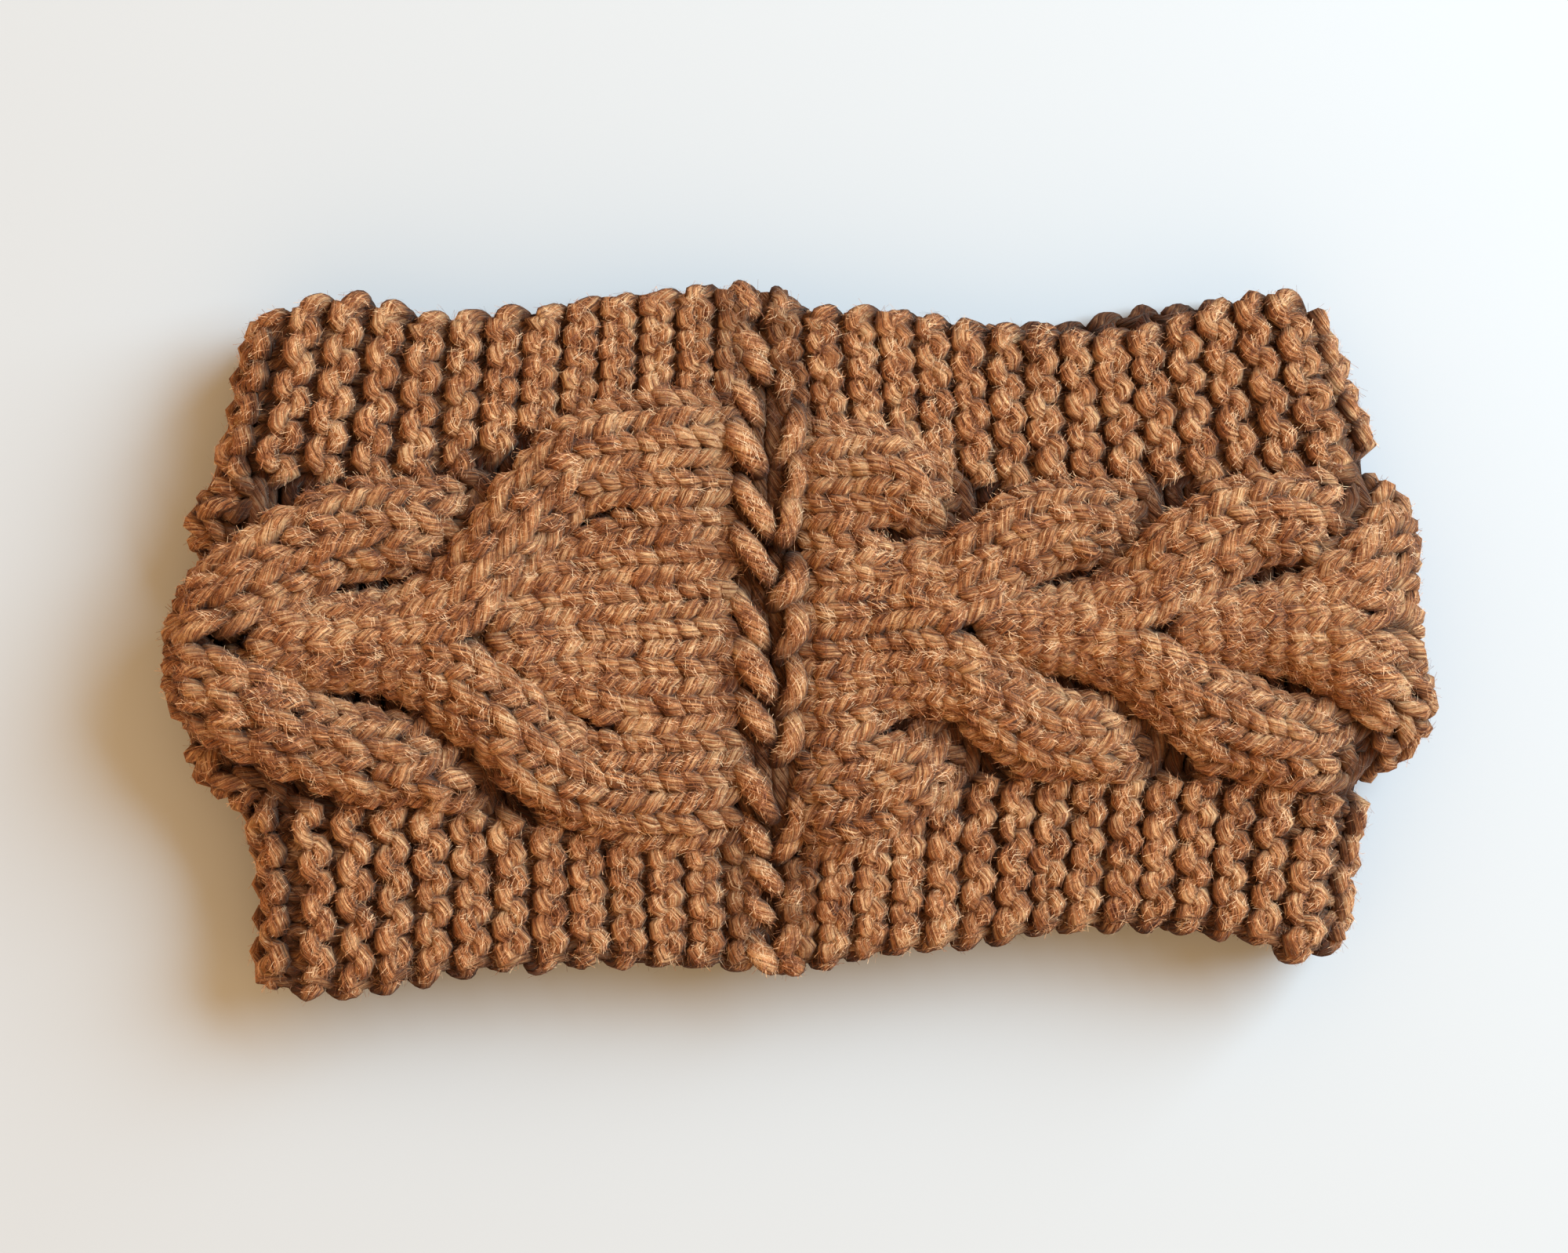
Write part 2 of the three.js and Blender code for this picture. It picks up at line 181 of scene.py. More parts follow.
def ground(row, stitch):
    """The middle of the fabric and the direction out of the loop, at rows and stitches."""
    row, stitch = np.broadcast_arrays(np.asarray(row, float), np.asarray(stitch, float))
    starts = np.concatenate([[0], np.cumsum(STRETCHES)])
    share = np.clip(row / ROWS, 0, 1)
    stretch = np.clip(np.searchsorted(starts, share) - 1, 0, 4)
    part = np.clip((share - starts[stretch]) / STRETCHES[stretch], 0, 1)
    edge = np.zeros_like(stitch)
    left = straight_reach(edge, LEFT_REACH)
    right = straight_reach(edge, RIGHT_REACH)
    bulge_left = straight_reach(stitch, LEFT_REACH) - left
    bulge_right = straight_reach(stitch, RIGHT_REACH) - right
    middle = HALF_REACH * np.interp(stitch, SEAM_LINE[:, 0], SEAM_LINE[:, 1])
    aside = np.interp(stitch, SEAM_LINE[:, 0], SEAM_LINE[:, 2]) / 2 + PIECE_GAP
    turn = np.choose(
        stretch, [0 * part, part * np.pi, 0 * part + np.pi, (1 - part) * np.pi, 0 * part]
    )
    plain_x = np.choose(
        stretch,
        [
            lerp(middle - aside, -left, part),
            -left - FOLD_RADIUS * np.sin(turn),
            lerp(-left, right, part),
            right + FOLD_RADIUS * np.sin(turn),
            lerp(right, middle + aside, part),
        ],
    )
    x = plain_x + np.choose(
        stretch,
        [
            -bulge_left * part**3,
            -bulge_left,
            bulge_right * part**5 - bulge_left * (1 - part) ** 5,
            bulge_right,
            bulge_right * (1 - part) ** 3,
        ],
    )
    beyond = np.minimum(row, 0) + np.maximum(row - ROWS, 0)
    x = x - 3.8 * beyond
    side = np.sign(plain_x)
    along = np.clip(plain_x / (np.where(side < 0, left, right) + FOLD_RADIUS), -1, 1)
    opened = soft_step(np.abs(along), 0.3, 0.9)
    radius = FOLD_RADIUS - FOLD_OPENING / 2 * (1 - opened)
    under = (1 - np.cos(turn)) / 2

    def line(column):
        upper = look_up(UPPER_LAYER, along, column)
        return HALF_WIDTH * lerp(upper, look_up(LOWER_LAYER, along, column), under)

    panel_end = BORDER_STITCHES + PANEL_STITCHES
    low_part = stitch / BORDER_STITCHES
    high_part = (stitch - panel_end) / BORDER_STITCHES
    panel_part = (stitch - BORDER_STITCHES) / PANEL_STITCHES
    y = np.where(
        stitch < BORDER_STITCHES,
        lerp(line(LOW_EDGE), line(PANEL_LOW), low_part),
        np.where(
            stitch > panel_end,
            lerp(line(PANEL_TOP), line(TOP_EDGE), high_part),
            lerp(line(PANEL_LOW), line(PANEL_TOP), panel_part),
        ),
    )
    z = lift_at(stitch) + HALF_WALL + radius * (1 + np.cos(turn)) - PRESSED_FLAT
    points = np.stack([x, y, z], axis=-1)
    outward = np.stack([side * np.sin(turn), 0 * turn, np.cos(turn)], axis=-1)
    return points, outward


def on_fabric(row, stitch, height):
    points, outward = ground(row, stitch)
    return points + outward * np.asarray(height, float)[..., None]


def half_panel(row, side):
    """Half the panel's width in millimetres at a row, below its middle line (-1) or above it (1)."""
    rim, _ = ground(row, BAND_STITCHES / 2 + side * PANEL_STITCHES / 2)
    middle, _ = ground(row, BAND_STITCHES / 2)
    return np.abs(rim[..., 1] - middle[..., 1])


def swing_of(past, share):
    """How far a strand has swung in over the other one, some rows past their crossing.
    Its inner edge is in by then, and its outer edge follows."""
    outer_edge = soft_step(past, -4.6, 5)
    inner_edge = np.clip(1 + (past - 0.6) / 6.4, 0, 1) ** 1.2
    return lerp(outer_edge, inner_edge, share)


def dip_at_seam(row):
    """The seam pulls the fabric beside it down."""
    from_seam = np.minimum(row, ROWS - row)
    return np.exp(-((np.maximum(from_seam, 0) / 1.3) ** 2)) + 0.5 * np.clip(-from_seam, 0, 2)


def strand_shape(row, across, kind, number, side):
    """Where a cable strand runs: its place from the panel's edge (0) to its middle line (1), and its
    height. across counts the strand's own stitches from its outer edge, 0 to 3. number is that of the
    crossing ahead."""
    share = np.clip(across / 3, 0, 1)
    ahead = FIRST_CROSSING + CROSSING_EVERY * number if number < CROSSINGS else 1e6
    behind = FIRST_CROSSING + CROSSING_EVERY * (number - 1) if number > 0 else -1e6
    formed = soft_step(np.minimum(row, 1.7 * (ROWS - row)), 4.6, 9.6)
    width = half_panel(row, side)
    arm = np.minimum(ARM_WIDTH, 0.62 * width)
    tongue = width - arm - STRAND_GAP
    flat = soft_step(tongue, 13, 20)
    outer_turn = np.radians(np.clip(lerp(-80, 80, across / 3), -86, 86))
    inner_turn = np.radians(lerp(-100, 0, across / 3))
    outer_place = (arm / 2 + (arm / 2 - YARN_SWELL) * np.sin(outer_turn)) / width
    inner_place = 1 + (tongue - YARN_SWELL) * lerp(np.sin(inner_turn), across / 3 - 1, flat) / width
    outer_height = VALLEY + STRAND_HEIGHT * np.cos(outer_turn) ** 0.8
    round_top = 0.3 + 0.7 * np.cos(inner_turn)
    flat_top = 0.68 - 0.3 * (1 - share) ** 4
    inner_height = VALLEY + STRAND_HEIGHT * lerp(round_top, flat_top, flat)
    sunk = lerp(-0.9, -2.1, share)
    plain_outer_height = -0.6 + 4.6 * np.sin(np.pi * np.clip(0.9 * share + 0.08, 0, 0.62))
    plain_inner_height = 3.4 + 0 * share
    if kind == "outer":
        out = soft_step(row - behind, 0, 3)
        risen = soft_step(row - behind, lerp(-0.3, 2.0, share), lerp(1.6, 4.5, share))
        place = lerp(across / 3, outer_place, out)
        height = lerp(sunk, outer_height, risen)
        swung = row - ahead
        plain_place = across / 6
        plain_height = plain_outer_height
    else:
        place = outer_place
        height = outer_height
        swung = row - behind
        plain_place = 0.5 + across / 6
        plain_height = plain_inner_height
    way = swing_of(swung, share)
    place = lerp(place, inner_place, way)
    height = lerp(height, inner_height, way)
    height = height + CROSSING_RISE * np.exp(-(((np.clip(swung, -30, 30) + 0.3) / 2.6) ** 2))
    if kind == "inner":
        place = lerp(place, across / 3, soft_step(row - ahead, -1.6, 0.2))
        gone = soft_step(row - ahead, lerp(-3.6, -1.5, share), lerp(-0.6, 0.8, share))
        height = lerp(height, sunk, gone)
    height = lerp(plain_height, height, formed) - 2.4 * dip_at_seam(row)
    return lerp(plain_place, place, formed), height


# One stitch, from the yarn that joins it to the one before up to the middle of its head.
# Columns: stitches aside, rows along, height, and the yarn's thickness as a share.
GARTER_HALF = np.array(
    [
        (-0.5, -0.95, -1.75, 1.12),
        (-0.24, -0.8, -1.2, 0.95),
        (-0.13, -0.42, -0.6, 0.66),
        (-0.26, 0.02, 0.0, 0.68),
        (-0.38, 0.45, 0.45, 0.74),
        (-0.32, 0.76, 1.1, 0.95),
        (0.0, 0.95, 1.8, 1.14),
    ]
)
PLAIN_HALF = np.array(
    [
        (-0.5, -0.98, -1.6, 0.85),
        (-0.24, -0.9, -1.1, 0.8),
        (-0.08, -0.56, 0.4, 0.84),
        (-0.17, -0.15, 1.3, 1.06),
        (-0.34, 0.28, 1.1, 1.08),
        (-0.46, 0.64, -0.4, 0.88),
        (-0.28, 0.98, -1.4, 0.8),
        (0.0, 1.08, -1.7, 0.85),
    ]
)
# The seam's strands, in two columns. Columns: widths aside, pitches along, height and thickness.
SEAM_LEFT = np.array(
    [
        (-0.56, 0.56, -2.6, 0.85),
        (-0.54, 0.44, -0.4, 1.05),
        (-0.42, 0.2, 1.1, 1.25),
        (-0.24, -0.1, 1.4, 1.3),
        (-0.08, -0.38, 0.4, 1.1),
        (-0.02, -0.58, -1.6, 0.85),
    ]
)
SEAM_RIGHT = np.array(
    [
        (0.36, 0.56, -2.4, 0.85),
        (0.46, 0.36, -0.2, 1.05),
        (0.48, 0.1, 0.9, 1.25),
        (0.42, -0.16, 1.0, 1.25),
        (0.26, -0.4, 0.1, 1.1),
        (0.12, -0.58, -1.6, 0.85),
    ]
)
SEAM_LOOPS = 15
SEAM_STEPS = 16
BURIED_IN_SEAM = (-0.42, -0.14, 0.14, 0.42)

# The yarn: its radius, and how finely it is laid
STEPS_PER_STITCH = 13
GARTER_YARN = 1.95
PANEL_YARN = 1.84
EDGE_PULL = 0.95
SIDES = {"seam_strands": 10, "cable_stitches_lower_layer": 6}
USUAL_SIDES = 8

# The cable's strands, in millimetres
VALLEY = -1.7
STRAND_HEIGHT = 7.2
ARM_WIDTH = 19.5
STRAND_GAP = 2.6
YARN_SWELL = 2.7

# Plies and loose fibres, in metres
PLIES = 7.0
PLY_PITCH = 0.0165
SHORTEST_FIBRE = 0.0018
LONGEST_FIBRE = 0.004
FIBRE_LAY = -0.5
FIBRES_PER_AREA = 1350000.0
SIDE_SHADE = 0.95

# Colours
DARK_STREAK = (0.13, 0.026, 0.006, 1)
MIDDLE_STREAK = (0.56, 0.19, 0.06, 1)
LIGHT_STREAK = (1.0, 0.56, 0.26, 1)
DARK_FIBRE = (0.2, 0.05, 0.014, 1)
MIDDLE_FIBRE = (0.66, 0.25, 0.088, 1)
LIGHT_FIBRE = (1.0, 0.64, 0.35, 1)
# Painted shade: in the ply grooves, then in the knit's crevices and on the yarn's turned-away sides
PAINTED_GROOVE_SHADE = (0.3, 0.16, 0.09, 1)
PAINTED_CREVICE_SHADE = (0.13, 0.07, 0.05, 1)
SHEEN_TINT = (1.0, 0.76, 0.55, 1)
PALE_TABLE = (0.545, 0.545, 0.545, 1)
ROOM_LIGHT = (1.0, 0.67, 0.36, 1)
WINDOW_LIGHT = (0.5, 0.745, 0.95)

# The upper layer's rows left and right of the lower layer's
LOWER_FROM = 24
LOWER_TO = 83


def through(points, steps):
    """A smooth line through the points, in evenly spaced steps."""
    padded = np.vstack([2 * points[0] - points[1], points, 2 * points[-1] - points[-2]])
    fine = []
    for i in range(1, len(padded) - 2):
        p0, p1, p2, p3 = padded[i - 1 : i + 3]
        for t in np.arange(12) / 12:
            bend = 2 * p0 - 5 * p1 + 4 * p2 - p3
            turn = 3 * (p1 - p2) + p3 - p0
            fine.append(0.5 * (2 * p1 + (p2 - p0) * t + bend * t**2 + turn * t**3))
    fine.append(points[-1])
    fine = np.array(fine)
    span = np.linalg.norm(np.diff(fine[:, :3] * (6.5, 3.8, 1.0), axis=0), axis=1)
    way = np.concatenate([[0], np.cumsum(span)])
    even = np.linspace(0, way[-1], steps + 1)
    return np.stack([np.interp(even, way, fine[:, k]) for k in range(4)], axis=1)


def whole_stitch(half):
    """Both halves of a stitch, without its last point, which is the next one's first."""
    mirrored = half[-2::-1] * (-1, 1, 1, 1)
    return through(np.vstack([half, mirrored]), STEPS_PER_STITCH)[:-1]


def uneven(rng, count, spread):
    """Small seeded slips of a hand knitted stitch, strongest at its head."""
    part = np.arange(STEPS_PER_STITCH) / STEPS_PER_STITCH
    weight = np.sin(np.pi * part) ** 2
    slips = rng.normal(0, 1, (count, 1, 4)) * spread
    return np.clip(slips, -2 * np.array(spread), 2 * np.array(spread)) * weight[None, :, None]


def depth_and_painted_shade_of(height):
    """0 where the yarn lies on top of the fabric and 1 where it is buried in it. It sets how much
    painted crevice shade the yarn gets, and thins its loose fibres.
    """
    return 1 - soft_step(height, -1.2, 1.3)


def settle(points, thickness):
    """Yarn lies on the table, not in it."""
    points = points.copy()
    points[:, 2] = np.maximum(points[:, 2], 0.68 * thickness)
    return points


def garter_lines(edge, panel, rng):
    """The rows of one border, two and two, turned round at the band's edge."""
    outward = 1 if edge > panel else -1
    stitch_shape = whole_stitch(GARTER_HALF)
    first = 1 if outward > 0 else 0
    lines = []
    for pair in range(-1, ROWS // 2 + 1):
        halves = []
        for row in (2 * pair + first, 2 * pair + first + 1):
            front = 1 if row % 2 else -1
            slips = uneven(rng, BORDER_STITCHES, (0.05, 0.08, 0.3, 0.08))
            shape = stitch_shape[None] + slips
            shape = shape * (1, 1, front, 1)
            aside = shape[..., 0] + 0.5 + np.arange(BORDER_STITCHES)[:, None]
            flat = np.stack([aside, shape[..., 1] + row + 0.5, shape[..., 2], shape[..., 3]], axis=-1)
            under = np.array([(-1.1, row + 0.5, -1.9, 0.75), (-0.5, row + 0.5, -1.7, 0.75)])
            flat = np.vstack([under, flat.reshape(-1, 4)])
            flat = flat[flat[:, 0] < 4.68]
            halves.append(flat)
        low_row, high_row = 2 * pair + first + 0.5, 2 * pair + first + 1.5
        front = 1 if first % 2 else -1
        slip = np.clip(rng.normal(0, 1, 2), -1.5, 1.5) * (0.05, 0.15)
        turn = np.array(
            [
                (4.7, low_row - 0.5, -1.0 * front, 0.84),
                (4.8 + slip[0], low_row - 0.2, -0.4 * front, 0.9),
                (4.86 + slip[0], low_row + 0.1 + slip[1], 0.4 * front, 0.95),
                (4.82 + slip[0], low_row + 0.4 + slip[1], 0.9 * front, 0.94),
                (4.7, low_row + 0.65, 1.1 * front, 0.88),
            ]
        )
        turn = through(np.vstack([halves[0][-1], turn, halves[1][-1]]), 11)[1:-1]
        line = np.vstack([halves[0], turn, halves[1][::-1]])
        keep = (line[:, 1] > -1.2) & (line[:, 1] < ROWS + 1.2)
        if keep.sum() < 12:
            continue
        line = line[keep]
        stitch = panel + outward * EDGE_PULL * line[:, 0]
        thickness = GARTER_YARN * line[:, 3]
        dip = dip_at_seam(line[:, 1])
        points = on_fabric(line[:, 1], stitch, line[:, 2] - 1.1 * dip)
        # Painted shade where the yarn is buried and in the dip beside the seam
        depth_and_painted_shade = np.clip(np.maximum(depth_and_painted_shade_of(line[:, 2]), 0.5 * dip), 0, 1)
        _, out = ground(line[:, 1], stitch)
        out = out * np.where(line[:, 2] > -0.4, 1, -1)[:, None]
        lines.append((settle(points, thickness), thickness, depth_and_painted_shade, out))
    return lines


def bridge_line(row, number, side):
    """The yarn of a row where it runs from the outer strand down to the inner one, darkened with
    painted shade.
    """
    rows = np.full(5, row)
    from_place, from_height = strand_shape(rows, np.full(5, 2.9), "outer", number, side)
    to_place, to_height = strand_shape(rows, np.full(5, 0.1), "inner", number, side)
    part = np.linspace(0, 1, 5)
    place = lerp(from_place, to_place, part)
    height = lerp(from_height, to_height, part) - 1.1 - 0.8 * np.sin(np.pi * part)
    stitch = BORDER_STITCHES + PANEL_STITCHES / 2 * place
    if side > 0:
        stitch = BAND_STITCHES - stitch
    thickness = np.full(5, 0.85 * PANEL_YARN)
    points = on_fabric(rows, stitch, np.maximum(height, -2.2))
    _, out = ground(rows, stitch)
    return settle(points, thickness), thickness, np.full(5, 0.95), out


def ground_line(row, side):
    """The buried yarn of a row, which closes the fabric under the strands and carries nearly full
    painted shade.
    """
    stitch = np.linspace(BORDER_STITCHES - 0.9, BAND_STITCHES / 2 + 0.2, 9)
    if side > 0:
        stitch = BAND_STITCHES - stitch
    rows = row + 0.12 * np.sin(9 * stitch)
    thickness = np.full(9, PANEL_YARN)
    points = on_fabric(rows, stitch, np.full(9, -2.3))
    _, out = ground(rows, stitch)
    return settle(points, thickness), thickness, np.full(9, 0.93), out


def strand_lines(rows, rng):
    """The stockinette rows of the cable's strands. A strand is three stitches wide."""
    stitch_shape = whole_stitch(PLAIN_HALF)
    lines = []
    for row in rows:
        passed = max(math.ceil((row + 0.5 - FIRST_CROSSING) / CROSSING_EVERY), 0)
        for side in (-1, 1):
            for kind in ("outer", "inner"):
                slips = uneven(rng, 3, (0.06, 0.15, 0.38, 0.1))
                shape = stitch_shape[None] + slips
                across = (shape[..., 0] + 0.5 + np.arange(3)[:, None]).ravel()
                along = (shape[..., 1] + row + 0.5).ravel()
                height = shape[..., 2].ravel()
                share = shape[..., 3].ravel()
                across = np.concatenate([[-0.1], across, [3.0, 3.1]])
                along = np.concatenate([[along[0]], along, [along[0], along[0]]])
                height = np.concatenate([[-2.6], height, [height[0], -2.6]])
                share = np.concatenate([[0.8], share, [share[0], 0.8]])
                inside = (along > -1.4) & (along < ROWS + 1.4)
                if inside.sum() < 6:
                    continue
                across, along, height, share = (
                    v[inside] for v in (across, along, height, share)
                )

                def on_strand(a, r):
                    place, rise = strand_shape(r, a, kind, passed, side)
                    stitch = BORDER_STITCHES + PANEL_STITCHES / 2 * place
                    if side > 0:
                        stitch = BAND_STITCHES - stitch
                    return on_fabric(r, stitch, rise)

                base = on_strand(across, along)
                to_side = on_strand(across + 0.02, along) - on_strand(across - 0.02, along)
                to_row = on_strand(across, along + 0.02) - on_strand(across, along - 0.02)
                out = np.cross(to_side, to_row) * -side
                out /= np.linalg.norm(out, axis=1)[:, None] + 1e-9
                thickness = PANEL_YARN * share
                points = base + out * height[:, None]
                # Painted shade where the strand lies low between the others, and beside the seam
                _, rise = strand_shape(along, across, kind, passed, side)
                hollow_shade = 0.9 * (1 - soft_step(rise, -1.7, 2.2))
                depth_and_painted_shade = np.maximum(depth_and_painted_shade_of(height), hollow_shade)
                depth_and_painted_shade = np.clip(np.maximum(depth_and_painted_shade, 0.5 * dip_at_seam(along)), 0, 1)
                face = out * np.where(height > -1.0, 1, -1)[:, None]
                lines.append((settle(points, thickness), thickness, depth_and_painted_shade, face))
            lines.append(bridge_line(row + 0.5, passed, side))
            lines.append(ground_line(row + 0.5, side))
    return lines


def seam_strand_lines(rng):
    """The join: slanting strands in two columns, which sink into the borders as small tufts."""
    lines = []
    pitch = BAND_STITCHES / SEAM_LOOPS
    for column, later in ((SEAM_LEFT, 0.0), (SEAM_RIGHT, 0.4)):
        shape = through(column, SEAM_STEPS)
        for k in range(SEAM_LOOPS):
            slip = np.clip(rng.normal(0, 1, 8), -1.8, 1.8)
            middle_stitch = (k + 0.5 - later + 0.16 * slip[0]) * pitch
            panel = float(on_panel(np.array(middle_stitch)))
            lean = 0.1 * slip[1]
            long = lerp(0.8, 1.0, panel) * (1 + 0.14 * slip[2])
            along = np.clip(middle_stitch + shape[:, 1] * pitch * long, 0.25, BAND_STITCHES - 0.2)
            middle = HALF_REACH * np.interp(along, SEAM_LINE[:, 0], SEAM_LINE[:, 1])
            width = np.interp(along, SEAM_LINE[:, 0], SEAM_LINE[:, 2]) * lerp(0.8, 1.0, panel)
            aside = shape[:, 0] * (1 + 0.12 * slip[3]) + lean * shape[:, 1] + 0.05 * slip[4]
            rise = lerp(-0.9, 2.6, panel) + 0.45 * slip[5]
            base = on_fabric(0.0, along, shape[:, 2] + rise)
            points = np.stack([middle + width * aside, base[:, 1], base[:, 2]], axis=1)
            thickness = shape[:, 3] * lerp(1.55, 1.9, panel) * (1 + 0.08 * slip[6])
            up = np.tile([0.0, 0.0, 1.0], (len(shape), 1))
            # Painted shade where the strands sink into the seam
            lines.append((points, thickness, depth_and_painted_shade_of(shape[:, 2] - 0.2), up))
    along = np.linspace(0.4, BAND_STITCHES - 0.4, 60)
    middle = HALF_REACH * np.interp(along, SEAM_LINE[:, 0], SEAM_LINE[:, 1])
    width = np.interp(along, SEAM_LINE[:, 0], SEAM_LINE[:, 2])
    for aside in BURIED_IN_SEAM:
        base = on_fabric(0.0, along, lerp(-3.0, 0.2, on_panel(along)))
        points = np.stack([middle + aside * width, base[:, 1], base[:, 2]], axis=1)
        up = np.tile([0.0, 0.0, 1.0], (60, 1))
        # The buried yarn in the seam carries painted shade
        lines.append((points, np.full(60, 1.8), np.full(60, 0.8), up))
    return lines


def tree_with(name, inputs):
    """An empty Geometry Nodes tree with named inputs, and their identifiers."""
    tree = bpy.data.node_groups.new(name, "GeometryNodeTree")
    face = tree.interface
    face.new_socket("Geometry", in_out="INPUT", socket_type="NodeSocketGeometry")
    ids = {}
    for label, kind in inputs:
        socket = face.new_socket(label, in_out="INPUT", socket_type="NodeSocket" + kind)
        ids[label] = socket.identifier
    face.new_socket("Geometry", in_out="OUTPUT", socket_type="NodeSocketGeometry")
    return tree, ids


def run_tree(obj, tree, ids, values, name):
    """Runs a tree on an object and keeps the result as a plain mesh piece."""
    modifier = obj.modifiers.new("nodes", "NODES")
    modifier.node_group = tree
    for label, value in values.items():
        modifier[ids[label]] = value
    depsgraph = bpy.context.evaluated_depsgraph_get()
    mesh = bpy.data.meshes.new_from_object(obj.evaluated_get(depsgraph), depsgraph=depsgraph)
    obj.modifiers.remove(modifier)
    piece = bpy.data.objects.new(name, mesh)
    mesh.name = name
    bpy.context.scene.collection.objects.link(piece)
    return piece


def named(nodes, label, kind="FLOAT"):
    node = nodes.new("GeometryNodeInputNamedAttribute")
    node.data_type = kind
    node.inputs["Name"].default_value = label
    return node.outputs["Attribute"]


def tube_tree():
    """Lays a round yarn along its lines and keeps where its plies wind. It adds painted shade to the
    yarn's sides that turn away from the fabric's outside.
    """
    tree, ids = tree_with(
        "yarn_round_its_line",
        [("Sides", "Int"), ("Ply pitch", "Float"), ("Seed", "Int"), ("Yarn", "Material")],
    )
    nodes = tree.nodes
    link = tree.links.new
    given = nodes.new("NodeGroupInput")
    out = nodes.new("NodeGroupOutput")
    line = nodes.new("GeometryNodeMeshToCurve")
    link(given.outputs["Geometry"], line.inputs["Mesh"])
    start = nodes.new("FunctionNodeRandomValue")
    index = nodes.new("GeometryNodeInputIndex")
    link(index.outputs[0], start.inputs["ID"])
    link(given.outputs["Seed"], start.inputs["Seed"])
    link(given.outputs["Ply pitch"], start.inputs[3])
    keep_start = nodes.new("GeometryNodeCaptureAttribute")
    keep_start.domain = "CURVE"
    keep_start.capture_items.new("FLOAT", "Start")
    link(line.outputs["Curve"], keep_start.inputs["Geometry"])
    link(start.outputs[1], keep_start.inputs["Start"])
    way = nodes.new("GeometryNodeSplineParameter")
    add = nodes.new("ShaderNodeMath")
    add.operation = "ADD"
    link(way.outputs["Length"], add.inputs[0])
    link(keep_start.outputs["Start"], add.inputs[1])
    store_along = nodes.new("GeometryNodeStoreNamedAttribute")
    store_along.data_type = "FLOAT"
    store_along.inputs["Name"].default_value = "along"
    link(keep_start.outputs["Geometry"], store_along.inputs["Geometry"])
    link(add.outputs[0], store_along.inputs["Value"])
    tangent = nodes.new("GeometryNodeInputTangent")
    store_heading = nodes.new("GeometryNodeStoreNamedAttribute")
    store_heading.data_type = "FLOAT_VECTOR"
    store_heading.inputs["Name"].default_value = "heading"
    link(store_along.outputs[0], store_heading.inputs["Geometry"])
    link(tangent.outputs[0], store_heading.inputs["Value"])
    circle = nodes.new("GeometryNodeCurvePrimitiveCircle")
    circle.inputs["Radius"].default_value = 1.0
    link(given.outputs["Sides"], circle.inputs["Resolution"])
    spot = nodes.new("GeometryNodeInputPosition")
    store_round = nodes.new("GeometryNodeStoreNamedAttribute")
    store_round.data_type = "FLOAT_VECTOR"
    store_round.inputs["Name"].default_value = "around"
    link(circle.outputs["Curve"], store_round.inputs["Geometry"])
    link(spot.outputs[0], store_round.inputs["Value"])
    tube = nodes.new("GeometryNodeCurveToMesh")
    link(store_heading.outputs[0], tube.inputs["Curve"])
    link(store_round.outputs[0], tube.inputs["Profile Curve"])
    link(named(nodes, "thickness"), tube.inputs["Scale"])
    tube.inputs["Fill Caps"].default_value = True
    # Painted shade on the yarn's sides turned away from the fabric's outside, kept with the crevice
    # shade
    facing = nodes.new("ShaderNodeVectorMath")
    facing.operation = "DOT_PRODUCT"
    link(nodes.new("GeometryNodeInputNormal").outputs[0], facing.inputs[0])
    link(named(nodes, "outward", "FLOAT_VECTOR"), facing.inputs[1])
    painted_side_shade = nodes.new("ShaderNodeMapRange")
    painted_side_shade.inputs["From Min"].default_value = 0.8
    painted_side_shade.inputs["From Max"].default_value = 0.12
    painted_side_shade.inputs["To Max"].default_value = SIDE_SHADE
    link(facing.outputs["Value"], painted_side_shade.inputs["Value"])
    more_painted_shade = nodes.new("ShaderNodeMath")
    more_painted_shade.operation = "MAXIMUM"
    link(painted_side_shade.outputs["Result"], more_painted_shade.inputs[0])
    link(named(nodes, "depth_and_painted_shade"), more_painted_shade.inputs[1])
    store_depth_and_painted_shade = nodes.new("GeometryNodeStoreNamedAttribute")
    store_depth_and_painted_shade.data_type = "FLOAT"
    store_depth_and_painted_shade.inputs["Name"].default_value = "depth_and_painted_shade"
    link(tube.outputs[0], store_depth_and_painted_shade.inputs["Geometry"])
    link(more_painted_shade.outputs[0], store_depth_and_painted_shade.inputs["Value"])
    smooth = nodes.new("GeometryNodeSetShadeSmooth")
    link(store_depth_and_painted_shade.outputs[0], smooth.inputs["Geometry"])
    real = nodes.new("GeometryNodeRealizeInstances")
    link(smooth.outputs[0], real.inputs[0])
    paint = nodes.new("GeometryNodeSetMaterial")
    link(real.outputs[0], paint.inputs["Geometry"])
    link(given.outputs["Yarn"], paint.inputs["Material"])
    link(paint.outputs[0], out.inputs["Geometry"])
    return tree, ids


def random_value(nodes, link, seed, kind, low, high, offset):
    """A random value for each point, from a named seed."""
    node = nodes.new("FunctionNodeRandomValue")
    node.data_type = kind
    first = {"FLOAT_VECTOR": 0, "FLOAT": 2, "INT": 4}[kind]
    node.inputs[first].default_value = low
    node.inputs[first + 1].default_value = high
    shifted = nodes.new("ShaderNodeMath")
    shifted.operation = "ADD"
    shifted.inputs[1].default_value = offset
    link(seed, shifted.inputs[0])
    link(shifted.outputs[0], node.inputs["Seed"])
    return node.outputs[{"FLOAT_VECTOR": 0, "FLOAT": 1, "INT": 2}[kind]]


